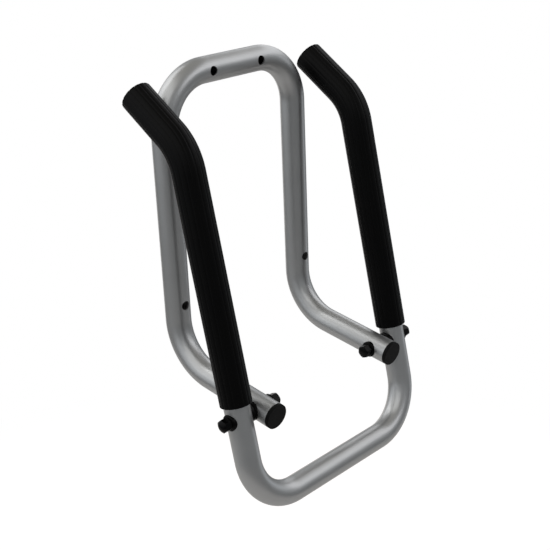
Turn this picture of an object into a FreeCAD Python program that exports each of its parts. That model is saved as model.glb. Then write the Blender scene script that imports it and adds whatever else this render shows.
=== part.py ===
import FreeCAD
import Part
import math
import os

# Fold-down wall hanger: a wall frame of bent tube carries a wider arm frame on two pivot bolts.
# Millimetres. +Z is up and +Y points into the wall, whose face is the plane y = 0.
# The origin lies midway between the two upper screw holes, at the wall face.

# Tube, the same for both frames
TUBE_OD = 25.0
TUBE_WALL = 1.5
BEND_RADIUS = 50.0          # centreline radius of every bend

# Wall frame
LEG_SPACING = 172.0         # between the centrelines of the legs
LEG_HEIGHT = 234.7          # from the top bar's centreline to the start of the lower bend
LOWER_BEND_DEG = 81.0       # turn of each leg away from the wall
LOWER_RUN = 66.9            # straight tube between the lower bend and the pivot
SCREW_HOLE_D = 9.0
TOP_HOLE_FROM_BEND = 4.6    # screw hole's centre, measured along the top bar
LEG_HOLE_ABOVE_BEND = 17.1  # screw hole's centre, measured up the leg

# Arm frame, folded up against the wall
ARM_LEAN_DEG = 11.7         # lean of the arms towards the wall
ARM_RUN = 229.4             # straight tube from the pivot up to the tip bend
TIP_BEND_DEG = 44.0
TIP_RUN = 51.1              # from the tip bend to the end of the sleeve
ARM_BELOW_PIVOT = 43.2      # straight tube from the pivot down to the crossbar's bend

# Ribbed sleeves
SLEEVE_WALL = 2.8
SLEEVE_RIBS = 18
GROOVE_WIDTH = 1.6
GROOVE_DEPTH = 0.3
SLEEVE_ABOVE_SADDLE = 6.1   # bare tube between the saddle's rim and the sleeve

# Push-in plugs in the open tube ends
PLUG_HEAD = 3.6
PLUG_DEPTH = 11.0
PLUG_WALL = 2.0
PLUG_CHAMFER = 0.5
PLUG_TO_BOLT = 3.8          # room left in the leg between the plug and the pivot bolt

# Pivot hardware
BOLT_D = 6.4
HEX_ACROSS_FLATS = 11.5
HEX_FACE_INSET = 0.3        # from the flats in to the round end of a hexagon
HEX_CHAMFER_DEG = 30.0
WASHER_FACE = 0.6           # round face under the head and the nut
HEAD_HEIGHT = 7.6
HEAD_TURN_DEG = 21.2        # rise of the front corner of the bolt's head
NUT_HEIGHT = 7.8            # hexagon of the cap nut
NUT_DOME = 2.0              # rise of the dome over its hexagon
NUT_TURN_DEG = 44.0         # rise of the front corner of the nut
NUT_GRIP = 6.0              # length of bolt inside the nut
NUT_END_ROOM = 0.8          # between the bolt's end and the bottom of the nut's bore
BOLT_CHAMFER = 0.8
SADDLE_CROWN = 1.4          # thickness of a saddle over the crown of its tube
SADDLE_D = 16.0             # coned saddles under the head and the nut
SADDLE_FACE_D = 11.6        # flat middle of a coned saddle's face
SADDLE_SLOPE = 1.0          # fall of its face from the flat middle to the rim
SPACER_D = 17.5             # flat saddles between the arm and the leg
SPACER_CHAMFER = 0.4

# Clearances
TURN_GAP = 0.1              # between flat faces that turn on each other
BOLT_GAP = 0.08             # round the bolt, in radius
SEAT_GAP = 0.05             # between a tube and what sits on or in it

V = FreeCAD.Vector
X_AXIS = V(1, 0, 0)
Y_AXIS = V(0, 1, 0)
Z_AXIS = V(0, 0, 1)
TUBE_R = TUBE_OD / 2
TUBE_ID = TUBE_OD - 2 * TUBE_WALL


def direction(deg_from_up):
    """Unit vector in the YZ plane, turned from straight up towards the wall."""
    a = math.radians(deg_from_up)
    return V(0, math.sin(a), math.cos(a))


def tangent_length(turn_deg):
    return BEND_RADIUS * math.tan(math.radians(turn_deg) / 2)


# Places that the pieces share, on the right-hand side

LEG_X = LEG_SPACING / 2
ARM_X = LEG_X + TUBE_OD + 2 * SADDLE_CROWN + TURN_GAP
LEG_END_DIR = direction(180 + LOWER_BEND_DEG)
ARM_DIR = direction(ARM_LEAN_DEG)
TIP_DIR = direction(ARM_LEAN_DEG + TIP_BEND_DEG)
TOP_CORNER = V(LEG_X, -TUBE_R, 0)
LOWER_CORNER = TOP_CORNER - Z_AXIS * (LEG_HEIGHT + tangent_length(LOWER_BEND_DEG))
LEG_PIVOT = LOWER_CORNER + LEG_END_DIR * (tangent_length(LOWER_BEND_DEG) + LOWER_RUN)
LEG_END = LEG_PIVOT + LEG_END_DIR * (BOLT_D / 2 + PLUG_TO_BOLT + PLUG_DEPTH)
ARM_PIVOT = V(ARM_X, LEG_PIVOT.y, LEG_PIVOT.z)
TIP_CORNER = ARM_PIVOT + ARM_DIR * (ARM_RUN + tangent_length(TIP_BEND_DEG))
SLEEVE_END = TIP_CORNER + TIP_DIR * (tangent_length(TIP_BEND_DEG) + TIP_RUN)
ARM_END = SLEEVE_END - TIP_DIR * PLUG_HEAD
CROSSBAR_CORNER = ARM_PIVOT - ARM_DIR * (ARM_BELOW_PIVOT + BEND_RADIUS)
SLEEVE_START = ARM_PIVOT + ARM_DIR * (SADDLE_D / 2 + SLEEVE_ABOVE_SADDLE)
TOP_HOLE_X = LEG_X - BEND_RADIUS - TOP_HOLE_FROM_BEND
LEG_HOLE_Z = LEG_HOLE_ABOVE_BEND - LEG_HEIGHT
HEAD_SEAT_X = LEG_X - TUBE_R - SADDLE_CROWN
NUT_SEAT_X = ARM_X + TUBE_R + SADDLE_CROWN + TURN_GAP
HEX_FACE_R = HEX_ACROSS_FLATS / 2 - HEX_FACE_INSET


def mirrored(point):
    return V(-point.x, point.y, point.z)


def bent_path(points):
    """Wire through the points, with every corner rounded to the bend radius."""
    edges = []
    start = points[0]
    for before, corner, after in zip(points, points[1:], points[2:]):
        into = (corner - before).normalize()
        out = (after - corner).normalize()
        turn = into.getAngle(out)
        reach = BEND_RADIUS * math.tan(turn / 2)
        bend_in = corner - into * reach
        bend_out = corner + out * reach
        inward = (out - into).normalize()
        middle = corner + inward * (BEND_RADIUS / math.cos(turn / 2) - BEND_RADIUS)
        edges.append(Part.makeLine(start, bend_in))
        edges.append(Part.Arc(bend_in, middle, bend_out).toShape())
        start = bend_out
    edges.append(Part.makeLine(start, points[-1]))
    return Part.Wire(edges)


def swept(profile, points):
    return bent_path(points).makePipeShell([profile], True, False)


def rod(points, diameter):
    """Solid round bar along the bent path."""
    circle = Part.makeCircle(diameter / 2, points[0], points[1] - points[0])
    return swept(Part.Wire([circle]), points)


def bent_tube(points):
    return rod(points, TUBE_OD).cut(rod(points, TUBE_ID))


def cross_bar(centre, axis, diameter, length):
    """Solid cylinder centred on a point, to cut a hole right through a tube."""
    return Part.makeCylinder(diameter / 2, length, centre - axis * (length / 2), axis)


def turned(profile):
    """Solid of revolution about X from (along, radius) points."""
    points = [V(along, radius, 0) for along, radius in profile]
    face = Part.Face(Part.makePolygon(points + points[:1]))
    return face.revolve(V(0, 0, 0), X_AXIS, 360)


def placed(shape, origin, axis):
    """Put a piece that was turned about X at an origin, along an axis."""
    moved = shape.copy()
    moved.Placement = FreeCAD.Placement(origin, FreeCAD.Rotation(X_AXIS, axis))
    return moved


def hexagon_bar(length, turn_deg):
    """Hexagon along X, with a corner at the front raised by the turn."""
    corner_r = HEX_ACROSS_FLATS / math.sqrt(3)
    corners = []
    for i in range(6):
        a = math.radians(turn_deg + 60 * i)
        corners.append(V(0, -corner_r * math.cos(a), corner_r * math.sin(a)))
    return Part.Face(Part.makePolygon(corners + corners[:1])).extrude(X_AXIS * length)


def chamfered_hexagon(height, turn_deg):
    """Hexagon on a round washer face, from x = 0, with the far corners turned off."""
    corner_r = HEX_ACROSS_FLATS / math.sqrt(3)
    slope = (corner_r - HEX_FACE_R) * math.tan(math.radians(HEX_CHAMFER_DEG))
    blank = turned([(0, 0), (0, HEX_FACE_R), (WASHER_FACE, HEX_FACE_R), (WASHER_FACE, corner_r),
                    (height - slope, corner_r), (height, HEX_FACE_R), (height, 0)])
    return hexagon_bar(height, turn_deg).common(blank)


def dome(base_x, base_r, rise):
    """Round cap that rises along X from a flat base."""
    ball_r = (base_r ** 2 + rise ** 2) / (2 * rise)
    half_angle = math.asin(base_r / ball_r) / 2
    foot = V(base_x, 0, 0)
    rim = V(base_x, base_r, 0)
    shoulder = V(base_x + rise - ball_r * (1 - math.cos(half_angle)), ball_r * math.sin(half_angle), 0)
    top = V(base_x + rise, 0, 0)
    outline = Part.Wire([Part.makeLine(foot, rim), Part.Arc(rim, shoulder, top).toShape(),
                         Part.makeLine(top, foot)])
    return Part.Face(outline).revolve(V(0, 0, 0), X_AXIS, 360)


def wall_frame():
    right = [TOP_CORNER, LOWER_CORNER, LEG_END]
    left = [mirrored(p) for p in right]
    frame = bent_tube(left[::-1] + right)
    holes = []
    for side in (-1, 1):
        top_hole = V(side * TOP_HOLE_X, -TUBE_R, 0)
        leg_hole = V(side * LEG_X, -TUBE_R, LEG_HOLE_Z)
        pivot = V(side * LEG_X, LEG_PIVOT.y, LEG_PIVOT.z)
        holes.append(cross_bar(top_hole, Y_AXIS, SCREW_HOLE_D, 2 * TUBE_OD))
        holes.append(cross_bar(leg_hole, Y_AXIS, SCREW_HOLE_D, 2 * TUBE_OD))
        holes.append(cross_bar(pivot, X_AXIS, BOLT_D + 2 * BOLT_GAP, 2 * TUBE_OD))
    return frame.cut(holes)


def arm_frame():
    right = [CROSSBAR_CORNER, TIP_CORNER, ARM_END]
    left = [mirrored(p) for p in right]
    frame = bent_tube(left[::-1] + right)
    holes = []
    for pivot in (ARM_PIVOT, mirrored(ARM_PIVOT)):
        holes.append(cross_bar(pivot, X_AXIS, BOLT_D + 2 * BOLT_GAP, 2 * TUBE_OD))
    return frame.cut(holes)


def ribbed_outline():
    """Closed outline of the sleeve at its lower end: broad ribs with narrow round-bottomed grooves."""
    crest_r = TUBE_R + SEAT_GAP + SLEEVE_WALL
    pitch = 2 * math.pi / SLEEVE_RIBS
    half_groove = GROOVE_WIDTH / crest_r / 2
    across = ARM_DIR.cross(X_AXIS)

    def at(angle, radius):
        return SLEEVE_START + X_AXIS * (radius * math.cos(angle)) + across * (radius * math.sin(angle))

    edges = []
    for i in range(SLEEVE_RIBS):
        groove = i * pitch
        rib_start = groove + half_groove
        rib_end = groove + pitch - half_groove
        edges.append(Part.Arc(at(groove - half_groove, crest_r), at(groove, crest_r - GROOVE_DEPTH),
                              at(rib_start, crest_r)).toShape())
        edges.append(Part.Arc(at(rib_start, crest_r), at(groove + pitch / 2, crest_r),
                              at(rib_end, crest_r)).toShape())
    return Part.Wire(edges)


def arm_sleeve():
    path = [SLEEVE_START, TIP_CORNER, SLEEVE_END]
    return swept(ribbed_outline(), path).cut(rod(path, TUBE_OD + 2 * SEAT_GAP))


def tube_plug(tube_end, outwards):
    """Cap with a flat head on the tube's end and a hollow shank inside the tube."""
    shank_r = TUBE_ID / 2 - SEAT_GAP
    bore_r = shank_r - PLUG_WALL
    plug = turned([(0, 0), (0, bore_r), (-PLUG_DEPTH, bore_r), (-PLUG_DEPTH, shank_r), (0, shank_r),
                   (0, TUBE_R), (PLUG_HEAD - PLUG_CHAMFER, TUBE_R),
                   (PLUG_HEAD, TUBE_R - PLUG_CHAMFER), (PLUG_HEAD, 0)])
    return placed(plug, tube_end, outwards)


def saddle(tube_axis_point, tube_axis, facing, rim_d, face_d, slope):
    """Washer whose back is hollowed to sit on a tube; its face looks along `facing` and falls at the rim."""
    bore_r = BOLT_D / 2 + BOLT_GAP
    top = TUBE_R + SADDLE_CROWN
    blank = turned([(0, bore_r), (0, rim_d / 2), (top - slope, rim_d / 2),
                    (top, face_d / 2), (top, bore_r)])
    seat = cross_bar(tube_axis_point, tube_axis, TUBE_OD + 2 * SEAT_GAP, 4 * rim_d)
    return placed(blank, tube_axis_point, facing).cut(seat)


def coned_saddle(tube_axis_point, tube_axis, facing):
    return saddle(tube_axis_point, tube_axis, facing, SADDLE_D, SADDLE_FACE_D, SADDLE_SLOPE)


def flat_saddle(tube_axis_point, tube_axis, facing):
    face_d = SPACER_D - 2 * SPACER_CHAMFER
    return saddle(tube_axis_point, tube_axis, facing, SPACER_D, face_d, SPACER_CHAMFER)


def pivot_bolt():
    """Bolt from inside the leg to outside the arm, head inwards."""
    shank_r = BOLT_D / 2
    length = NUT_SEAT_X + NUT_GRIP - HEAD_SEAT_X
    shank = turned([(-HEAD_HEIGHT / 2, 0), (-HEAD_HEIGHT / 2, shank_r), (length - BOLT_CHAMFER, shank_r),
                    (length, shank_r - BOLT_CHAMFER), (length, 0)])
    head = chamfered_hexagon(HEAD_HEIGHT, HEAD_TURN_DEG).mirror(V(0, 0, 0), X_AXIS)
    bolt = head.fuse(shank).removeSplitter()
    return placed(bolt, V(HEAD_SEAT_X, LEG_PIVOT.y, LEG_PIVOT.z), X_AXIS)


def pivot_cap_nut():
    """Domed nut with a blind bore, on the outside of the arm."""
    bore_depth = NUT_GRIP + NUT_END_ROOM
    bore = cross_bar(V(0, 0, 0), X_AXIS, BOLT_D + 2 * SEAT_GAP, 2 * bore_depth)
    hexagon = chamfered_hexagon(NUT_HEIGHT, NUT_TURN_DEG)
    nut = hexagon.fuse(dome(NUT_HEIGHT, HEX_FACE_R, NUT_DOME)).removeSplitter().cut(bore)
    return placed(nut, V(NUT_SEAT_X, ARM_PIVOT.y, ARM_PIVOT.z), X_AXIS)


def paired_pieces():
    """The pieces that each side has, made for the right-hand side."""
    return {
        "arm_sleeve": arm_sleeve(),
        "leg_end_cap": tube_plug(LEG_END, LEG_END_DIR),
        "arm_tip_plug": tube_plug(ARM_END, TIP_DIR),
        "pivot_bolt": pivot_bolt(),
        "pivot_cap_nut": pivot_cap_nut(),
        "nut_saddle": coned_saddle(ARM_PIVOT, ARM_DIR, X_AXIS),
        "arm_saddle": flat_saddle(ARM_PIVOT, ARM_DIR, X_AXIS * -1),
        "leg_saddle": flat_saddle(LEG_PIVOT, LEG_END_DIR, X_AXIS),
        "head_saddle": coned_saddle(LEG_PIVOT, LEG_END_DIR, X_AXIS * -1),
    }


pieces = {"wall_frame": wall_frame(), "arm_frame": arm_frame()}
for name, shape in paired_pieces().items():
    pieces["right_" + name] = shape
    pieces["left_" + name] = shape.mirror(V(0, 0, 0), X_AXIS)

os.makedirs("parts", exist_ok=True)
for name, shape in pieces.items():
    solid = shape.Solids[0]
    solid.exportStep("parts/" + name + ".step")
    box = solid.BoundBox
    print("%-20s solids %d valid %s volume %9.1f  x %7.1f %7.1f  y %7.1f %7.1f  z %7.1f %7.1f" % (
        name, len(shape.Solids), solid.isValid(), solid.Volume,
        box.XMin, box.XMax, box.YMin, box.YMax, box.ZMin, box.ZMax))
print("pivot axis at y %.3f z %.3f" % (ARM_PIVOT.y, ARM_PIVOT.z))
print("screw holes at x %.3f on the top bar, z %.3f on the legs" % (TOP_HOLE_X, LEG_HOLE_Z))
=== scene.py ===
import math
import bmesh
import bpy
from mathutils import Matrix, Vector


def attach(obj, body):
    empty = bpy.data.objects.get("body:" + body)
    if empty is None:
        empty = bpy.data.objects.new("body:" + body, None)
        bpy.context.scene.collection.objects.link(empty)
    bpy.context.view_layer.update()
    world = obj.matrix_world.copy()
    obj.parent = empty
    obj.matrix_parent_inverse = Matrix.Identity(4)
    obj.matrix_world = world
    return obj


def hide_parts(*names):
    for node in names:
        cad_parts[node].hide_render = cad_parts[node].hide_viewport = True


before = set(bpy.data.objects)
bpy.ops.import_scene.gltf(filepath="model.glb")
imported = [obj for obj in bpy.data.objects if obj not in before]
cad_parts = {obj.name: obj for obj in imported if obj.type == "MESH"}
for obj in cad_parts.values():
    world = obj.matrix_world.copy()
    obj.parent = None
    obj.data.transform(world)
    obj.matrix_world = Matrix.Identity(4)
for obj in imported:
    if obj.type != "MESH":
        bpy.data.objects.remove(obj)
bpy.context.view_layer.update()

# Wall frame: one length of round steel tube with four bends, drilled for four wall screws and two
# pivot bolts, then coated in satin silver powder. Screws hold its top bar and legs to the wall.
X_AXIS = Vector((1, 0, 0))
Y_AXIS = Vector((0, 1, 0))
Z_AXIS = Vector((0, 0, 1))
TUBE_RADIUS = 0.0125
TUBE_WALL = 0.0015
TUBE_FACETS = 80
BEND_RADIUS = 0.050
BEND_STEPS = 40
RING_SPACING = 0.003
BORE_OVERRUN = 0.002
CREASE_DEG = 32.0
LEG_X = 0.086
LEG_HEIGHT = 0.2347
LOWER_BEND_DEG = 81.0
LOWER_RUN = 0.0669
PIVOT_TO_LEG_END = 0.0180
SCREW_HOLE_RADIUS = 0.0045
TOP_HOLE_X = 0.0314
LEG_HOLE_Z = -0.2176
BOLT_RADIUS = 0.0032
BOLT_GAP = 0.00008
DRILL_FACETS = 40
DRILL_TUBE_RADII = 4.0
SILVER = (0.425, 0.430, 0.430)
# Inside of the tube: bare steel, painted darker than its own colour to stand in for the shade inside the
# tube, so the holes look dark.
BORE_STEEL_AND_SHADE_GREY = (0.155, 0.152, 0.150)


def lean(deg_from_up):
    """Direction in the side view, turned from straight up towards the wall."""
    angle = math.radians(deg_from_up)
    return Vector((0, math.sin(angle), math.cos(angle)))


def bend_reach(turn_deg):
    """Length that a bend takes from each of the two straight runs at its corner."""
    return BEND_RADIUS * math.tan(math.radians(turn_deg) / 2)


def mirrored(point):
    """The same point on the other side of the hanger."""
    return Vector((-point.x, point.y, point.z))


def add_node(tree, kind, inputs, **settings):
    """Add a node to a tree. An input is linked where its value is a socket, and set otherwise."""
    node = tree.nodes.new(kind)
    for name, value in settings.items():
        setattr(node, name, value)
    for key, value in inputs.items():
        if isinstance(value, bpy.types.NodeSocket):
            tree.links.new(value, node.inputs[key])
        else:
            node.inputs[key].default_value = value
    return node


def add_math(tree, operation, *values):
    """Output of a math node of either kind of tree."""
    return add_node(tree, "ShaderNodeMath", dict(enumerate(values)), operation=operation).outputs[0]


def new_tree(name, kind, inputs, outputs):
    """Empty node tree with named sockets, and its two end nodes."""
    tree = bpy.data.node_groups.new(name, kind)
    for in_out, sockets in (("INPUT", inputs), ("OUTPUT", outputs)):
        for socket_name, socket_type in sockets.items():
            tree.interface.new_socket(name=socket_name, in_out=in_out, socket_type=socket_type)
    return tree, tree.nodes.new("NodeGroupInput").outputs, tree.nodes.new("NodeGroupOutput").inputs


def rounded_route(tree, corners, bend_radius, ring_spacing):
    """Curve through the corner points, with every corner bent, cut into even steps."""
    line = add_node(tree, "GeometryNodeMeshToCurve", {"Mesh": corners}).outputs[0]
    bent = add_node(tree, "GeometryNodeFilletCurve", {
        "Curve": line, "Count": BEND_STEPS, "Radius": bend_radius}, mode="POLY").outputs[0]
    return add_node(tree, "GeometryNodeResampleCurve", {"Curve": bent, "Length": ring_spacing},
                    mode="LENGTH").outputs[0]


def round_bar(tree, route, radius, facets, overshoot=0.0):
    """Closed round bar along a curve, run on past both ends by the overshoot."""
    tangent = add_node(tree, "GeometryNodeInputTangent", {}).outputs[0]
    for start, end, way in ((1, 0, -overshoot), (0, 1, overshoot)):
        tip = add_node(tree, "GeometryNodeCurveEndpointSelection", {"Start Size": start, "End Size": end})
        push = add_node(tree, "ShaderNodeVectorMath", {0: tangent, "Scale": way}, operation="SCALE")
        route = add_node(tree, "GeometryNodeSetPosition", {
            "Geometry": route, "Selection": tip.outputs[0], "Offset": push.outputs[0]}).outputs[0]
    circle = add_node(tree, "GeometryNodeCurvePrimitiveCircle", {"Resolution": facets, "Radius": radius})
    return add_node(tree, "GeometryNodeCurveToMesh", {
        "Curve": route, "Profile Curve": circle.outputs[0], "Fill Caps": True}).outputs[0]


def cut_away(tree, solid, cutters):
    """The solid with all the cutters taken out of it."""
    boolean = add_node(tree, "GeometryNodeMeshBoolean", {"Mesh 1": solid}, operation="DIFFERENCE",
                       solver="MANIFOLD")
    for cutter in cutters:
        tree.links.new(cutter, boolean.inputs["Mesh 2"])
    return boolean.outputs["Mesh"]


def finished_solid(tree, solid, material):
    """Smooth faces with crisp edges, made one plain mesh in its material."""
    smooth = add_node(tree, "GeometryNodeSetShadeSmooth", {"Geometry": solid}, domain="FACE").outputs[0]
    fold = add_node(tree, "GeometryNodeInputMeshEdgeAngle", {}).outputs["Unsigned Angle"]
    crisp = add_math(tree, "GREATER_THAN", fold, math.radians(CREASE_DEG))
    creased = add_node(tree, "GeometryNodeSetShadeSmooth", {
        "Geometry": smooth, "Selection": crisp, "Shade Smooth": False}, domain="EDGE").outputs[0]
    plain = add_node(tree, "GeometryNodeRealizeInstances", {"Geometry": creased}).outputs[0]
    return add_node(tree, "GeometryNodeSetMaterial", {"Geometry": plain, "Material": material}).outputs[0]


def drilled_tube_tree():
    """Bent tube along a line of corner points, drilled at the loose points beside that line."""
    tree, given, result = new_tree("bent drilled tube", "GeometryNodeTree", {
        "Geometry": "NodeSocketGeometry", "Tube Radius": "NodeSocketFloat", "Wall": "NodeSocketFloat",
        "Bend Radius": "NodeSocketFloat", "Ring Spacing": "NodeSocketFloat", "Facets": "NodeSocketInt",
        "Material": "NodeSocketMaterial", "Bore Material": "NodeSocketMaterial"},
        {"Geometry": "NodeSocketGeometry"})
    hole_radius = add_node(tree, "GeometryNodeInputNamedAttribute", {"Name": "hole_radius"},
                           data_type="FLOAT").outputs["Attribute"]
    hole_axis = add_node(tree, "GeometryNodeInputNamedAttribute", {"Name": "hole_axis"},
                         data_type="FLOAT_VECTOR").outputs["Attribute"]
    is_hole = add_math(tree, "GREATER_THAN", hole_radius, 0.0)
    parts = add_node(tree, "GeometryNodeSeparateGeometry",
                     {"Geometry": given["Geometry"], "Selection": is_hole}, domain="POINT")
    route = rounded_route(tree, parts.outputs["Inverted"], given["Bend Radius"], given["Ring Spacing"])
    inner_radius = add_math(tree, "SUBTRACT", given["Tube Radius"], given["Wall"])
    outside = round_bar(tree, route, given["Tube Radius"], given["Facets"])
    inside = round_bar(tree, route, inner_radius, given["Facets"], overshoot=BORE_OVERRUN)
    inside = add_node(tree, "GeometryNodeStoreNamedAttribute", {
        "Geometry": inside, "Name": "bore", "Value": True}, data_type="BOOLEAN", domain="FACE").outputs[0]
    drill_length = add_math(tree, "MULTIPLY", given["Tube Radius"], DRILL_TUBE_RADII)
    drill = add_node(tree, "GeometryNodeMeshCylinder",
                     {"Vertices": DRILL_FACETS, "Radius": 1.0, "Depth": drill_length}).outputs["Mesh"]
    turn = add_node(tree, "FunctionNodeAlignRotationToVector", {"Vector": hole_axis}, axis="Z").outputs[0]
    width = add_node(tree, "ShaderNodeCombineXYZ", {"X": hole_radius, "Y": hole_radius, "Z": 1.0})
    drills = add_node(tree, "GeometryNodeInstanceOnPoints", {
        "Points": parts.outputs["Selection"], "Instance": drill, "Rotation": turn,
        "Scale": width.outputs[0]}).outputs[0]
    drills = add_node(tree, "GeometryNodeRealizeInstances", {"Geometry": drills}).outputs[0]
    tube = finished_solid(tree, cut_away(tree, outside, (inside, drills)), given["Material"])
    in_bore = add_node(tree, "GeometryNodeInputNamedAttribute", {"Name": "bore"},
                       data_type="BOOLEAN").outputs["Attribute"]
    tube = add_node(tree, "GeometryNodeSetMaterial", {
        "Geometry": tube, "Selection": in_bore, "Material": given["Bore Material"]}).outputs[0]
    tree.links.new(tube, result["Geometry"])
    return tree


def tube_plan(name, corners, holes):
    """Seed mesh for the tube's tree: the corner line, and a loose point for each hole."""
    plan = bpy.data.meshes.new(name)
    points = list(corners) + [centre for centre, axis, radius in holes]
    plan.from_pydata(points, [(i, i + 1) for i in range(len(corners) - 1)], [])
    radii = plan.attributes.new("hole_radius", "FLOAT", "POINT")
    axes = plan.attributes.new("hole_axis", "FLOAT_VECTOR", "POINT")
    for i, (centre, axis, radius) in enumerate(holes, start=len(corners)):
        radii.data[i].value = radius
        axes.data[i].vector = axis
    return plan


def mesh_from_tree(plan, tree, values):
    """Plain mesh that a node tree makes from its seed mesh and the values of its named inputs."""
    carrier = bpy.data.objects.new(plan.name, plan)
    bpy.context.scene.collection.objects.link(carrier)
    modifier = carrier.modifiers.new("shape", "NODES")
    modifier.node_group = tree
    for item in tree.interface.items_tree:
        if item.in_out == "INPUT" and item.name in values:
            modifier[item.identifier] = values[item.name]
    made = carrier.evaluated_get(bpy.context.evaluated_depsgraph_get())
    mesh = bpy.data.meshes.new_from_object(made)
    for i in reversed(range(len(mesh.materials))):
        if mesh.materials[i] is None:
            mesh.materials.pop(index=i)
    carrier.modifiers.remove(modifier)
    bpy.data.objects.remove(carrier)
    return mesh


def new_piece(name, mesh):
    """Object for a finished mesh, linked to the scene."""
    piece = bpy.data.objects.new(name, mesh)
    bpy.context.scene.collection.objects.link(piece)
    return piece


def surface_grain_group():
    """Uneven colour and gloss in soft clouds and fine specks, with the specks as a height."""
    group, given, result = new_tree("surface grain", "ShaderNodeTree", {
        "Colour": "NodeSocketColor", "Colour Spread": "NodeSocketFloat",
        "Roughness": "NodeSocketFloat", "Roughness Spread": "NodeSocketFloat",
        "Speck Size": "NodeSocketFloat", "Cloud Size": "NodeSocketFloat"}, {
        "Colour": "NodeSocketColor", "Roughness": "NodeSocketFloat", "Height": "NodeSocketFloat"})
    place = add_node(group, "ShaderNodeTexCoord", {}).outputs["Object"]
    noises = []
    swings = []
    for size, detail in (("Speck Size", 2.0), ("Cloud Size", 4.0)):
        scale = add_math(group, "DIVIDE", 1.0, given[size])
        noise = add_node(group, "ShaderNodeTexNoise",
                         {"Vector": place, "Scale": scale, "Detail": detail}).outputs["Fac"]
        noises.append(noise)
        swings.append(add_math(group, "MULTIPLY_ADD", noise, 2.0, -1.0))
    both = add_math(group, "ADD", *swings)
    shade = add_math(group, "MULTIPLY_ADD", both, given["Colour Spread"], 1.0)
    tone = add_node(group, "ShaderNodeVectorMath", {0: given["Colour"], "Scale": shade},
                    operation="SCALE")
    gloss = add_math(group, "MULTIPLY_ADD", both, given["Roughness Spread"], given["Roughness"])
    group.links.new(tone.outputs[0], result["Colour"])
    group.links.new(gloss, result["Roughness"])
    group.links.new(noises[0], result["Height"])
    return group


def grained_material(name, colour, roughness, grain, bump_height, **constants):
    """Principled finish with the shared grain; the constants are set on the shader's own sockets."""
    material = bpy.data.materials.new(name)
    material.use_nodes = True
    tree = material.node_tree
    shader = tree.nodes["Principled BSDF"]
    for key, value in constants.items():
        shader.inputs[key.replace("_", " ")].default_value = value
    values = {"Colour": (*colour, 1.0), "Roughness": roughness}
    grained = add_node(tree, "ShaderNodeGroup", {}, node_tree=SURFACE_GRAIN)
    for key, value in {**values, **grain}.items():
        grained.inputs[key].default_value = value
    bump = add_node(tree, "ShaderNodeBump", {
        "Strength": 1.0, "Distance": bump_height, "Height": grained.outputs["Height"]})
    tree.links.new(grained.outputs["Colour"], shader.inputs["Base Color"])
    tree.links.new(grained.outputs["Roughness"], shader.inputs["Roughness"])
    tree.links.new(bump.outputs["Normal"], shader.inputs["Normal"])
    return material


SURFACE_GRAIN = surface_grain_group()
silver_coat = grained_material("silver_powder_coat", SILVER, roughness=0.35, grain={
    "Colour Spread": 0.04, "Roughness Spread": 0.03, "Speck Size": 0.0007, "Cloud Size": 0.02},
    bump_height=0.000002, Metallic=0.88)
# The bore's finish is bare steel with painted shade: its colour is darkened to stand in for the shade
# inside the tube.
bore_steel_and_shade = grained_material("bore_steel_with_painted_shade", BORE_STEEL_AND_SHADE_GREY, roughness=0.60, grain={
    "Colour Spread": 0.15, "Roughness Spread": 0.08, "Speck Size": 0.0009, "Cloud Size": 0.01},
    bump_height=0.000010, Metallic=0.7)
DRILLED_TUBE = drilled_tube_tree()
tube_sizes = {"Tube Radius": TUBE_RADIUS, "Wall": TUBE_WALL, "Bend Radius": BEND_RADIUS,
              "Ring Spacing": RING_SPACING, "Facets": TUBE_FACETS, "Material": silver_coat,
              "Bore Material": bore_steel_and_shade}

leg_end_dir = lean(180 + LOWER_BEND_DEG)
top_corner = Vector((LEG_X, -TUBE_RADIUS, 0))
lower_corner = top_corner - Z_AXIS * (LEG_HEIGHT + bend_reach(LOWER_BEND_DEG))
leg_pivot = lower_corner + leg_end_dir * (bend_reach(LOWER_BEND_DEG) + LOWER_RUN)
leg_end = leg_pivot + leg_end_dir * PIVOT_TO_LEG_END
pivot_hole_radius = BOLT_RADIUS + BOLT_GAP
wall_corners = [mirrored(leg_end), mirrored(lower_corner), mirrored(top_corner),
                top_corner, lower_corner, leg_end]
wall_holes = []
for side in (-1, 1):
    wall_holes.append((Vector((side * TOP_HOLE_X, -TUBE_RADIUS, 0)), Y_AXIS, SCREW_HOLE_RADIUS))
    wall_holes.append((Vector((side * LEG_X, -TUBE_RADIUS, LEG_HOLE_Z)), Y_AXIS, SCREW_HOLE_RADIUS))
    wall_holes.append((Vector((side * LEG_X, leg_pivot.y, leg_pivot.z)), X_AXIS, pivot_hole_radius))
wall_plan = tube_plan("wall_plan", wall_corners, wall_holes)
wall_tube = new_piece("wall_frame_tube", mesh_from_tree(wall_plan, DRILLED_TUBE, tube_sizes))
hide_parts("wall_frame")
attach(wall_tube, "wall_assembly")

# Leg end caps: black moulded plugs with a flat head as wide as the tube and a hollow shank that is
# pressed into each open leg end.
PLUG_HEAD = 0.0036
PLUG_DEPTH = 0.011
PLUG_WALL = 0.002
PLUG_EDGE = 0.0005
SEAT_GAP = 0.00005
ROUND_STEPS = 72
EASE_STEPS = 4
FACE_RING_EASES = 1.4
CAP_BLACK = (0.0024, 0.0024, 0.0024)


def ring_mesh(name, rings, joined=False):
    """Mesh through rings of points, with the ends closed, or the last ring joined to the first."""
    bm = bmesh.new()
    loops = [[bm.verts.new(point) for point in ring] for ring in rings]
    neighbours = list(zip(loops, loops[1:]))
    if joined:
        neighbours.append((loops[-1], loops[0]))
    else:
        bm.faces.new(loops[0])
        bm.faces.new(loops[-1])
    for one, other in neighbours:
        for i in range(len(one)):
            j = (i + 1) % len(one)
            bm.faces.new((one[i], one[j], other[j], other[i]))
    bmesh.ops.recalc_face_normals(bm, faces=bm.faces)
    mesh = bpy.data.meshes.new(name)
    bm.to_mesh(mesh)
    bm.free()
    mesh.shade_smooth()
    mesh.set_sharp_from_angle(angle=math.radians(CREASE_DEG))
    return mesh


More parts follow.
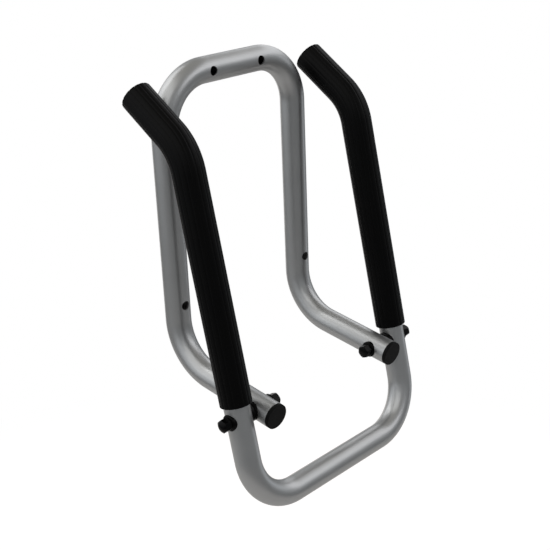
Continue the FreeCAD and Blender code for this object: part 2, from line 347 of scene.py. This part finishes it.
def eased_edge(along, radius, ease):
    """Profile points of a rounded outer edge, from the flat face at `along` down to the side."""
    points = [(along, radius - FACE_RING_EASES * ease)]
    for i in range(EASE_STEPS + 1):
        angle = math.pi / 2 * i / EASE_STEPS
        points.append((along - ease * (1 - math.cos(angle)), radius - ease * (1 - math.sin(angle))))
    return points


def turned_rings(profile, origin, axis):
    """Rings of a turned piece from (along, radius) points, along an axis in the side view."""
    across = axis.cross(X_AXIS)
    rings = []
    for along, radius in profile:
        centre = origin + axis * along
        rings.append([centre + (X_AXIS * math.cos(a) + across * math.sin(a)) * radius
                      for a in (2 * math.pi * i / ROUND_STEPS for i in range(ROUND_STEPS))])
    return rings


def plug_mesh(name, tube_end, outwards):
    """Plug in a tube's end: a head with an eased edge on a hollow shank."""
    shank = TUBE_RADIUS - TUBE_WALL - SEAT_GAP
    hollow = shank - PLUG_WALL
    profile = eased_edge(PLUG_HEAD, TUBE_RADIUS, PLUG_EDGE) + [
        (0, TUBE_RADIUS), (0, shank), (PLUG_EDGE - PLUG_DEPTH, shank), (-PLUG_DEPTH, shank - PLUG_EDGE),
        (-PLUG_DEPTH, hollow), (0, hollow)]
    return ring_mesh(name, turned_rings(profile, tube_end, outwards))


cap_plastic = grained_material("cap_moulded_black", CAP_BLACK, roughness=0.62, grain={
    "Colour Spread": 0.10, "Roughness Spread": 0.08, "Speck Size": 0.0004, "Cloud Size": 0.006},
    bump_height=0.000006, Specular_IOR_Level=0.11)
for side, place in (("right", leg_end), ("left", mirrored(leg_end))):
    cap = new_piece(side + "_leg_cap", plug_mesh(side + "_leg_cap", place, leg_end_dir))
    cap.data.materials.append(cap_plastic)
    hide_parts(side + "_leg_end_cap")
    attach(cap, "wall_assembly")

# Arm frame: the same silver tube bent into a wider U, with a crossbar at the bottom and tips that
# turn towards the wall. It hangs on the two pivot bolts beside the legs.
ARM_X = 0.1139
ARM_LEAN_DEG = 11.7
ARM_RUN = 0.2294
TIP_BEND_DEG = 44.0
TIP_RUN = 0.0511
ARM_BELOW_PIVOT = 0.0432

arm_dir = lean(ARM_LEAN_DEG)
tip_dir = lean(ARM_LEAN_DEG + TIP_BEND_DEG)
arm_pivot = Vector((ARM_X, leg_pivot.y, leg_pivot.z))
tip_corner = arm_pivot + arm_dir * (ARM_RUN + bend_reach(TIP_BEND_DEG))
sleeve_end = tip_corner + tip_dir * (bend_reach(TIP_BEND_DEG) + TIP_RUN)
arm_end = sleeve_end - tip_dir * PLUG_HEAD
crossbar_corner = arm_pivot - arm_dir * (ARM_BELOW_PIVOT + BEND_RADIUS)
arm_corners = [mirrored(arm_end), mirrored(tip_corner), mirrored(crossbar_corner),
               crossbar_corner, tip_corner, arm_end]
arm_holes = [(centre, X_AXIS, pivot_hole_radius) for centre in (arm_pivot, mirrored(arm_pivot))]
arm_plan = tube_plan("arm_plan", arm_corners, arm_holes)
arm_tube = new_piece("arm_frame_tube", mesh_from_tree(arm_plan, DRILLED_TUBE, tube_sizes))
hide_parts("arm_frame")
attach(arm_tube, "arm_assembly")

# Arm sleeves: soft black rubber, extruded with broad ribs and narrow grooves along it, cut square
# and pushed over each arm from its tip down to just above the pivot.
SADDLE_RADIUS = 0.008
SLEEVE_ABOVE_SADDLE = 0.0061
SLEEVE_WALL = 0.0028
SLEEVE_EDGE = 0.0004
SLEEVE_EDGE_STEPS = ((0.6, 0.2), (0.4, 0.6))
GROOVE_GATHERING = 0.75
QUAD_CORNERS = 4
SLEEVE_BLACK = (0.0007, 0.0007, 0.0007)


def grooved_outline(tree, given):
    """Round outline with narrow grooves, its points gathered where the grooves are."""
    count = add_math(tree, "MULTIPLY", given["Ribs"], given["Points per Rib"])
    circle = add_node(tree, "GeometryNodeCurvePrimitiveCircle",
                      {"Resolution": count, "Radius": given["Crest Radius"]}).outputs[0]
    spot = add_node(tree, "GeometryNodeInputPosition", {}).outputs[0]
    spot = add_node(tree, "ShaderNodeSeparateXYZ", {0: spot}).outputs
    pitch = add_math(tree, "DIVIDE", 2 * math.pi, given["Ribs"])
    turns = add_math(tree, "DIVIDE", add_math(tree, "ARCTAN2", spot["Y"], spot["X"]), pitch)
    part = add_math(tree, "FRACT", turns)
    wave = add_math(tree, "SINE", add_math(tree, "MULTIPLY", part, 2 * math.pi))
    gathered = add_math(tree, "MULTIPLY_ADD", wave, -GROOVE_GATHERING / (2 * math.pi), turns)
    angle = add_math(tree, "MULTIPLY", gathered, pitch)
    off_groove = add_math(tree, "PINGPONG", gathered, 0.5)
    off_angle = add_math(tree, "MULTIPLY", off_groove, pitch)
    reach = add_math(tree, "MULTIPLY", off_angle, given["Crest Radius"])
    half_width = add_math(tree, "DIVIDE", given["Groove Width"], 2.0)
    across = add_math(tree, "MINIMUM", add_math(tree, "DIVIDE", reach, half_width), 1.0)
    hollow = add_math(tree, "SUBTRACT", 1.0, add_math(tree, "MULTIPLY", across, across))
    sunk = add_math(tree, "MULTIPLY", hollow, given["Groove Depth"])
    radius = add_math(tree, "SUBTRACT", given["Crest Radius"], sunk)
    place = add_node(tree, "ShaderNodeCombineXYZ", {
        "X": add_math(tree, "MULTIPLY", radius, add_math(tree, "COSINE", angle)),
        "Y": add_math(tree, "MULTIPLY", radius, add_math(tree, "SINE", angle))}).outputs[0]
    return add_node(tree, "GeometryNodeSetPosition", {"Geometry": circle, "Position": place}).outputs[0]


def ribbed_sleeve_tree():
    """Ribbed rubber tube along a bent line of corner points, with its cut ends slightly eased."""
    tree, given, result = new_tree("ribbed sleeve", "GeometryNodeTree", {
        "Geometry": "NodeSocketGeometry", "Crest Radius": "NodeSocketFloat",
        "Bore Radius": "NodeSocketFloat", "Bend Radius": "NodeSocketFloat",
        "Ring Spacing": "NodeSocketFloat", "Ribs": "NodeSocketInt", "Points per Rib": "NodeSocketInt",
        "Groove Width": "NodeSocketFloat", "Groove Depth": "NodeSocketFloat",
        "Edge Ease": "NodeSocketFloat", "Facets": "NodeSocketInt",
        "Material": "NodeSocketMaterial"}, {"Geometry": "NodeSocketGeometry"})
    route = rounded_route(tree, given["Geometry"], given["Bend Radius"], given["Ring Spacing"])
    solid = add_node(tree, "GeometryNodeCurveToMesh", {
        "Curve": route, "Profile Curve": grooved_outline(tree, given), "Fill Caps": True}).outputs[0]
    corners = add_node(tree, "GeometryNodeCornersOfFace", {}).outputs["Total"]
    ends = add_math(tree, "GREATER_THAN", corners, QUAD_CORNERS)
    for rise, draw_in in SLEEVE_EDGE_STEPS:
        drawn = add_node(tree, "GeometryNodeExtrudeMesh", {
            "Mesh": solid, "Selection": ends, "Individual": False,
            "Offset Scale": add_math(tree, "MULTIPLY", given["Edge Ease"], rise)}, mode="FACES")
        share = add_math(tree, "DIVIDE", given["Edge Ease"], given["Crest Radius"])
        scale = add_math(tree, "MULTIPLY_ADD", share, -draw_in, 1.0)
        solid = add_node(tree, "GeometryNodeScaleElements", {
            "Geometry": drawn.outputs["Mesh"], "Selection": drawn.outputs["Top"], "Scale": scale},
            domain="FACE").outputs[0]
        ends = drawn.outputs["Top"]
    bore = round_bar(tree, route, given["Bore Radius"], given["Facets"], overshoot=BORE_OVERRUN)
    sleeve = cut_away(tree, solid, (bore,))
    tree.links.new(finished_solid(tree, sleeve, given["Material"]), result["Geometry"])
    return tree


sleeve_rubber = grained_material("sleeve_ribbed_rubber", SLEEVE_BLACK, roughness=0.42, grain={
    "Colour Spread": 0.15, "Roughness Spread": 0.06, "Speck Size": 0.0005, "Cloud Size": 0.012},
    bump_height=0.000003, Specular_IOR_Level=0.085)
RIBBED_SLEEVE = ribbed_sleeve_tree()
sleeve_bore = TUBE_RADIUS + SEAT_GAP
sleeve_sizes = {"Crest Radius": sleeve_bore + SLEEVE_WALL, "Bore Radius": sleeve_bore,
                "Bend Radius": BEND_RADIUS, "Ring Spacing": RING_SPACING, "Ribs": 18,
                "Points per Rib": 12, "Groove Width": 0.0016, "Groove Depth": 0.0003,
                "Edge Ease": SLEEVE_EDGE, "Facets": TUBE_FACETS, "Material": sleeve_rubber}
sleeve_start = arm_pivot + arm_dir * (SADDLE_RADIUS + SLEEVE_ABOVE_SADDLE)
sleeve_line = [sleeve_start + arm_dir * SLEEVE_EDGE, tip_corner, sleeve_end - tip_dir * SLEEVE_EDGE]
for side, line in (("right", sleeve_line), ("left", [mirrored(point) for point in sleeve_line])):
    sleeve_plan = tube_plan(side + "_sleeve_plan", line, [])
    sleeve = new_piece(side + "_sleeve", mesh_from_tree(sleeve_plan, RIBBED_SLEEVE, sleeve_sizes))
    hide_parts(side + "_arm_sleeve")
    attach(sleeve, "arm_assembly")

# Arm tip plugs: the same moulded plugs as on the legs, pressed into the upper tube ends, where the
# sleeve runs round the head and ends level with it.
for side, place in (("right", arm_end), ("left", mirrored(arm_end))):
    plug = new_piece(side + "_tip_plug", plug_mesh(side + "_tip_plug", place, tip_dir))
    plug.data.materials.append(cap_plastic)
    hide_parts(side + "_arm_tip_plug")
    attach(plug, "arm_assembly")

# Saddles: moulded black nylon washers with a back hollowed to the tube, one on either side of each
# tube at the pivot. Those under the bolt's head and the nut are coned. The flat pair between arm and
# leg turn on each other.
SADDLE_CROWN = 0.0014
SADDLE_FACE_RADIUS = 0.0058
SADDLE_SLOPE = 0.001
SPACER_RADIUS = 0.00875
SPACER_CHAMFER = 0.0004
SADDLE_EASE = 0.00015
UNDERSIDE_STEPS = 5
SADDLE_BLACK = (0.0006, 0.0006, 0.0006)


def saddle_mesh(name, pivot, tube_dir, facing, rim, face, slope):
    """Washer on the side of a tube: rings from the bore over the face to the rim and back underneath."""
    bore = pivot_hole_radius
    top = TUBE_RADIUS + SADDLE_CROWN
    seat = TUBE_RADIUS + SEAT_GAP
    across = facing.cross(tube_dir)
    fall = slope / (rim - face) * SADDLE_EASE
    over = [(top, bore), (top, face - SADDLE_EASE), (top - fall, face + SADDLE_EASE),
            (top - slope + fall, rim - SADDLE_EASE), (top - slope - SADDLE_EASE, rim)]
    under = [rim + (bore - rim) * i / UNDERSIDE_STEPS for i in range(UNDERSIDE_STEPS + 1)]
    rings = [[] for i in range(len(over) + len(under))]
    for i in range(ROUND_STEPS):
        angle = 2 * math.pi * i / ROUND_STEPS
        out = tube_dir * math.cos(angle) + across * math.sin(angle)
        profile = over + [(math.sqrt(seat ** 2 - (r * math.sin(angle)) ** 2), r) for r in under]
        for ring, (along, radius) in zip(rings, profile):
            ring.append(pivot + facing * along + out * radius)
    return ring_mesh(name, rings, joined=True)


saddle_nylon = grained_material("saddle_black_nylon", SADDLE_BLACK, roughness=0.30, grain={
    "Colour Spread": 0.10, "Roughness Spread": 0.06, "Speck Size": 0.0006, "Cloud Size": 0.005},
    bump_height=0.000006, Specular_IOR_Level=0.06)
coned_form = (SADDLE_RADIUS, SADDLE_FACE_RADIUS, SADDLE_SLOPE)
flat_form = (SPACER_RADIUS, SPACER_RADIUS - SPACER_CHAMFER, SPACER_CHAMFER)
for side, way in (("right", 1), ("left", -1)):
    on_arm = Vector((way * arm_pivot.x, arm_pivot.y, arm_pivot.z))
    on_leg = Vector((way * leg_pivot.x, leg_pivot.y, leg_pivot.z))
    for place, pivot, tube_dir, facing, form, body in (
            ("nut", on_arm, arm_dir, X_AXIS * way, coned_form, "arm_assembly"),
            ("arm", on_arm, arm_dir, X_AXIS * -way, flat_form, "arm_assembly"),
            ("leg", on_leg, leg_end_dir, X_AXIS * way, flat_form, "wall_assembly"),
            ("head", on_leg, leg_end_dir, X_AXIS * -way, coned_form, "wall_assembly")):
        name = side + "_" + place + "_saddle"
        saddle = new_piece(name + "_washer", saddle_mesh(name, pivot, tube_dir, facing, *form))
        saddle.data.materials.append(saddle_nylon)
        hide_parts(name)
        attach(saddle, body)

# Pivot bolts: black steel hexagon bolts, cold headed and rolled with a thread. Each goes in from the
# inner side of the leg, through the saddles and the arm, and the arm turns on its plain shank.
TURN_GAP = 0.0001
HEX_SIDES = 6
HEX_CORNER_DEG = 30.0
HEX_HALF_FLATS = 0.00575
HEX_CORNER_EASE = 0.0004
HEX_FACE_INSET = 0.0003
HEX_CHAMFER_DEG = 30.0
HEX_CHAMFER_STEPS = 8
WASHER_FACE = 0.0006
HEAD_HEIGHT = 0.0076
HEAD_TURN_DEG = 21.2
NUT_GRIP = 0.006
BOLT_POINT = 0.0008
THREAD_PITCH = 0.00127
THREAD_DEPTH = 0.0006
THREAD_LENGTH = 0.012
THREAD_STEEPNESS = 1.3
THREAD_CREST = 0.15
THREAD_RINGS_PER_PITCH = 8
BOLT_BLACK = (0.0006, 0.0006, 0.0007)
HEX_STEPS_DEG = (-30.0, -29.0, -27.9, -18.0, -9.0, 0.0, 9.0, 18.0, 27.9, 29.0)


def hexagon_angles():
    """Angles round a hexagon with a flat at 0, closest together at its eased corners."""
    return [math.radians(2 * HEX_CORNER_DEG * face + step)
            for face in range(HEX_SIDES) for step in HEX_STEPS_DEG]


def hexagon_radius(angle):
    """Distance from the middle to the outline of a hexagon with eased corners."""
    corner = math.radians(HEX_CORNER_DEG)
    off = abs((angle + corner) % (2 * corner) - corner)
    straight = HEX_HALF_FLATS / math.cos(off)
    half_side = (HEX_HALF_FLATS - HEX_CORNER_EASE) * math.tan(corner)
    if HEX_HALF_FLATS * math.tan(off) <= half_side:
        return straight
    middle = (HEX_HALF_FLATS - HEX_CORNER_EASE) / math.cos(corner)
    turn = corner - off
    return middle * math.cos(turn) + math.sqrt(HEX_CORNER_EASE ** 2 - (middle * math.sin(turn)) ** 2)


def hexagon_profiles(height):
    """Radius at each height of a chamfered hexagon on its washer face, as functions of the angle."""
    face = HEX_HALF_FLATS - HEX_FACE_INSET
    slope = math.tan(math.radians(HEX_CHAMFER_DEG))
    drop = (HEX_HALF_FLATS / math.cos(math.radians(HEX_CORNER_DEG)) - face) * slope
    steps = [(0.0, lambda a: face), (WASHER_FACE, lambda a: face), (WASHER_FACE, hexagon_radius)]
    for i in range(HEX_CHAMFER_STEPS + 1):
        along = height - drop * (1 - i / HEX_CHAMFER_STEPS)
        cone = face + (height - along) / slope
        steps.append((along, lambda a, cone=cone: min(hexagon_radius(a), cone)))
    return steps


def hexagon_rings(profiles, origin, axis, turn_deg):
    """Rings along X or against it, with a corner at the front raised by the turn."""
    offset = math.radians(turn_deg - HEX_CORNER_DEG)
    rings = []
    for along, radius in profiles:
        rings.append([origin + axis * along
                      + Vector((0, -math.cos(a + offset), math.sin(a + offset))) * radius(a)
                      for a in hexagon_angles()])
    return rings


def thread_radius(along):
    """Radius of the rolled thread at a distance from the bolt's end, running out into the shank."""
    def radius(angle):
        turn = (along / THREAD_PITCH + angle / (2 * math.pi)) % 1.0
        flank = abs(2 * turn - 1)
        root = THREAD_DEPTH * min(1.0, max(0.0, THREAD_STEEPNESS * flank - THREAD_CREST))
        fade = min(1.0, (THREAD_LENGTH - along) / THREAD_PITCH)
        point = max(0.0, BOLT_POINT - along)
        return min(BOLT_RADIUS - root * max(0.0, fade), BOLT_RADIUS - point)
    return radius


def bolt_profiles(length):
    """From the middle of the head's face back along the shank to the end of the thread."""
    head = hexagon_profiles(HEAD_HEIGHT)[::-1]
    shank = [(0.0, lambda a: BOLT_RADIUS), (THREAD_LENGTH - length, lambda a: BOLT_RADIUS)]
    count = round(THREAD_LENGTH / THREAD_PITCH * THREAD_RINGS_PER_PITCH)
    thread = []
    for i in range(count):
        along = THREAD_LENGTH * (1 - (i + 1) / count)
        thread.append((along - length, thread_radius(along)))
    return head + shank + thread


bolt_steel = grained_material("bolt_black_steel", BOLT_BLACK, roughness=0.26, grain={
    "Colour Spread": 0.15, "Roughness Spread": 0.06, "Speck Size": 0.0005, "Cloud Size": 0.003},
    bump_height=0.000006, Specular_IOR_Level=0.10)
head_seat_x = LEG_X - TUBE_RADIUS - SADDLE_CROWN
nut_seat_x = ARM_X + TUBE_RADIUS + SADDLE_CROWN + TURN_GAP
bolt_length = nut_seat_x + NUT_GRIP - head_seat_x
for side, way in (("right", 1), ("left", -1)):
    seat = Vector((way * head_seat_x, leg_pivot.y, leg_pivot.z))
    rings = hexagon_rings(bolt_profiles(bolt_length), seat, X_AXIS * -way, HEAD_TURN_DEG)
    bolt = new_piece(side + "_hex_bolt", ring_mesh(side + "_hex_bolt", rings))
    bolt.data.materials.append(bolt_steel)
    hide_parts(side + "_pivot_bolt")
    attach(bolt, "wall_assembly")

# Pivot cap nuts: black steel hexagon nuts with a domed, closed end, screwed on the outer ends of the
# bolts. A washer face bears on the outer saddle, and the bore has a countersunk mouth.
NUT_HEIGHT = 0.0078
NUT_DOME = 0.002
NUT_TURN_DEG = 44.0
NUT_END_ROOM = 0.0008
NUT_COUNTERSINK = 0.0006
DOME_STEPS = 12


def cap_nut_profiles():
    """From the bottom of the blind bore out over its mouth, up the hexagon and over the dome."""
    bore = BOLT_RADIUS + SEAT_GAP
    base = HEX_HALF_FLATS - HEX_FACE_INSET
    ball = (base ** 2 + NUT_DOME ** 2) / (2 * NUT_DOME)
    edge_angle = math.asin(base / ball)
    inside = [(NUT_GRIP + NUT_END_ROOM, bore), (NUT_COUNTERSINK, bore), (0.0, bore + NUT_COUNTERSINK)]
    outside = []
    for i in range(1, DOME_STEPS):
        angle = edge_angle * (1 - i / DOME_STEPS)
        outside.append((NUT_HEIGHT + NUT_DOME - ball * (1 - math.cos(angle)), ball * math.sin(angle)))
    below = [(along, lambda a, r=r: r) for along, r in inside]
    above = [(along, lambda a, r=r: r) for along, r in outside]
    return below + hexagon_profiles(NUT_HEIGHT) + above


for side, way in (("right", 1), ("left", -1)):
    seat = Vector((way * nut_seat_x, leg_pivot.y, leg_pivot.z))
    rings = hexagon_rings(cap_nut_profiles(), seat, X_AXIS * way, NUT_TURN_DEG)
    nut = new_piece(side + "_cap_nut", ring_mesh(side + "_cap_nut", rings))
    nut.data.materials.append(bolt_steel)
    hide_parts(side + "_pivot_cap_nut")
    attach(nut, "wall_assembly")

# Camera: a portrait lens that looks from the left and from above, held slightly askew, as in the
# photograph. Its angles are measured from straight at the wall.
CAMERA_AZIMUTH_DEG = 45.595
CAMERA_ELEVATION_DEG = 21.530
CAMERA_ROLL_DEG = -2.280
CAMERA_DISTANCE = 1.1494
CAMERA_TARGET = Vector((0.05116, -0.01236, -0.23172))
CAMERA_LENS = 70.93
CAMERA_SENSOR = 36.0

azimuth = math.radians(CAMERA_AZIMUTH_DEG)
elevation = math.radians(CAMERA_ELEVATION_DEG)
roll = math.radians(CAMERA_ROLL_DEG)
forward = Vector((math.sin(azimuth) * math.cos(elevation), math.cos(azimuth) * math.cos(elevation),
                  -math.sin(elevation)))
level = Vector((math.cos(azimuth), -math.sin(azimuth), 0))
upright = level.cross(forward)
rightwards = level * math.cos(roll) + upright * math.sin(roll)
upwards = upright * math.cos(roll) - level * math.sin(roll)
camera_data = bpy.data.cameras.new("camera")
camera_data.lens = CAMERA_LENS
camera_data.sensor_width = CAMERA_SENSOR
camera = bpy.data.objects.new("camera", camera_data)
turn = Matrix((rightwards, upwards, -forward)).transposed().to_4x4()
camera.matrix_world = Matrix.Translation(CAMERA_TARGET - forward * CAMERA_DISTANCE) @ turn
bpy.context.scene.collection.objects.link(camera)
bpy.context.scene.camera = camera

# Floor: a pale round studio floor well below the hanger, which shows its soft shadow and fades into
# the white background towards its rim.
FLOOR_HEIGHT = -0.85
FLOOR_RADIUS = 1.05
FLOOR_FACETS = 96
FLOOR_FADE_START = 0.63
FLOOR_FADE_END = 0.9975
FLOOR_TONE = (0.62, 0.605, 0.595)
FLOOR_GLOW = 0.50

bm = bmesh.new()
bmesh.ops.create_circle(bm, cap_ends=True, segments=FLOOR_FACETS, radius=FLOOR_RADIUS,
                        matrix=Matrix.Translation((0, 0, FLOOR_HEIGHT)))
floor_mesh = bpy.data.meshes.new("floor")
bm.to_mesh(floor_mesh)
bm.free()
floor_material = bpy.data.materials.new("floor_pale")
floor_material.use_nodes = True
floor_tree = floor_material.node_tree
floor_tree.nodes.remove(floor_tree.nodes["Principled BSDF"])
floor_path = add_node(floor_tree, "ShaderNodeLightPath", {}).outputs
spot = add_node(floor_tree, "ShaderNodeTexCoord", {}).outputs["Object"]
on_plan = add_node(floor_tree, "ShaderNodeVectorMath", {0: spot, 1: (1.0, 1.0, 0.0)},
                   operation="MULTIPLY").outputs[0]
reach = add_node(floor_tree, "ShaderNodeVectorMath", {0: on_plan}, operation="LENGTH").outputs["Value"]
rim = add_node(floor_tree, "ShaderNodeMapRange", {
    "Value": reach, "From Min": FLOOR_FADE_START, "From Max": FLOOR_FADE_END},
    interpolation_type="SMOOTHSTEP").outputs[0]
seen = add_math(floor_tree, "MAXIMUM", floor_path["Is Camera Ray"], floor_path["Is Transmission Ray"])
glow = add_math(floor_tree, "MULTIPLY", seen, FLOOR_GLOW)
paint = add_node(floor_tree, "ShaderNodeBsdfDiffuse", {"Color": (*FLOOR_TONE, 1.0)})
shine = add_node(floor_tree, "ShaderNodeEmission", {"Strength": glow})
rim_white = add_node(floor_tree, "ShaderNodeEmission", {"Strength": 1.0})
lit = add_node(floor_tree, "ShaderNodeAddShader", {0: paint.outputs[0], 1: shine.outputs[0]})
faded = add_node(floor_tree, "ShaderNodeMixShader", {
    "Fac": add_math(floor_tree, "MULTIPLY", rim, seen), 1: lit.outputs[0], 2: rim_white.outputs[0]})
floor_tree.links.new(faded.outputs[0], floor_tree.nodes["Material Output"].inputs["Surface"])
floor = new_piece("floor", floor_mesh)
floor.data.materials.append(floor_material)

# Studio: a plain grey room with a white backdrop behind the hanger, and five large soft boxes, three
# on the left and two on the right. Tones run from straight below to straight above. A soft box has its
# turn from the wall and its rise in degrees, its width and height, its brightness and its tint.
STUDIO_TONES = ((0.00, (0.465, 0.450, 0.435)), (0.38, (0.180, 0.185, 0.190)),
                (0.50, (0.295, 0.305, 0.315)), (0.62, (0.430, 0.440, 0.450)),
                (0.80, (0.340, 0.340, 0.335)), (1.00, (0.425, 0.410, 0.380)))
BACKDROP_DIR = (0.38, 0.905, -0.19)
BACKDROP_RIM = 0.922
BACKDROP_MIDDLE = 0.949
BACKDROP_TONE = (1.0, 0.965, 0.935)
VIEW_WHITE = (1.0, 1.0, 1.0)
SOFT_BOXES = (
    ("left_front", -86, 47, 10.8, 5.3, 0.81, (1.000, 1.000, 1.000)),
    ("left", -59, 7, 11.6, 3.7, 0.51, (0.975, 1.000, 1.035)),
    ("left_back", -8, 41, 3.9, 4.9, 1.27, (1.000, 1.000, 1.010)),
    ("right", 108, 34, 16.4, 2.8, 1.09, (1.000, 1.000, 1.030)),
    ("right_low", 109, -10, 2.4, 4.4, 0.44, (0.950, 1.000, 1.050)))
SOFT_BOX_DISTANCE = 5.4
STUDIO_CENTRE = Vector((0, -0.07, -0.19))

world = bpy.data.worlds.new("studio")
bpy.context.scene.world = world
world.use_nodes = True
world_tree = world.node_tree
background = world_tree.nodes["Background"]
direction = add_node(world_tree, "ShaderNodeTexCoord", {}).outputs["Generated"]
rise = add_node(world_tree, "ShaderNodeSeparateXYZ", {0: direction}).outputs["Z"]
ramp = add_node(world_tree, "ShaderNodeValToRGB", {
    "Fac": add_math(world_tree, "MULTIPLY_ADD", rise, 0.5, 0.5)})
while len(ramp.color_ramp.elements) < len(STUDIO_TONES):
    ramp.color_ramp.elements.new(0.5)
for element, (position, tone) in zip(ramp.color_ramp.elements, STUDIO_TONES):
    element.position = position
    element.color = (*tone, 1.0)
behind = add_node(world_tree, "ShaderNodeVectorMath", {0: direction, 1: BACKDROP_DIR},
                  operation="DOT_PRODUCT").outputs["Value"]
backdrop = add_node(world_tree, "ShaderNodeMapRange", {
    "Value": behind, "From Min": BACKDROP_RIM, "From Max": BACKDROP_MIDDLE},
    interpolation_type="SMOOTHSTEP").outputs[0]
world_path = add_node(world_tree, "ShaderNodeLightPath", {}).outputs
in_mirror = add_math(world_tree, "MULTIPLY", world_path["Is Glossy Ray"], backdrop)
in_view = add_math(world_tree, "MAXIMUM", world_path["Is Camera Ray"], world_path["Is Transmission Ray"])
colour = ramp.outputs["Color"]
for share, tone in ((in_mirror, BACKDROP_TONE), (in_view, VIEW_WHITE)):
    mixed = add_node(world_tree, "ShaderNodeMixRGB", {
        "Fac": share, "Color1": colour, "Color2": (*tone, 1.0)})
    colour = mixed.outputs["Color"]
world_tree.links.new(colour, background.inputs["Color"])
background.inputs["Strength"].default_value = 1.0
for name, turn_deg, rise_deg, width, height, radiance, tint in SOFT_BOXES:
    turn_angle = math.radians(turn_deg)
    rise_angle = math.radians(rise_deg)
    aim = Vector((math.sin(turn_angle) * math.cos(rise_angle),
                  math.cos(turn_angle) * math.cos(rise_angle), math.sin(rise_angle)))
    lamp_data = bpy.data.lights.new(name + "_soft_box", "AREA")
    lamp_data.shape = "RECTANGLE"
    lamp_data.size = width
    lamp_data.size_y = height
    lamp_data.energy = radiance * math.pi * width * height
    lamp_data.color = tint
    lamp = bpy.data.objects.new(name + "_soft_box", lamp_data)
    lamp.location = STUDIO_CENTRE + aim * SOFT_BOX_DISTANCE
    lamp.rotation_euler = aim.to_track_quat("Z", "Y").to_euler()
    lamp.visible_camera = False
    bpy.context.scene.collection.objects.link(lamp)
bpy.context.scene.view_settings.view_transform = "Standard"
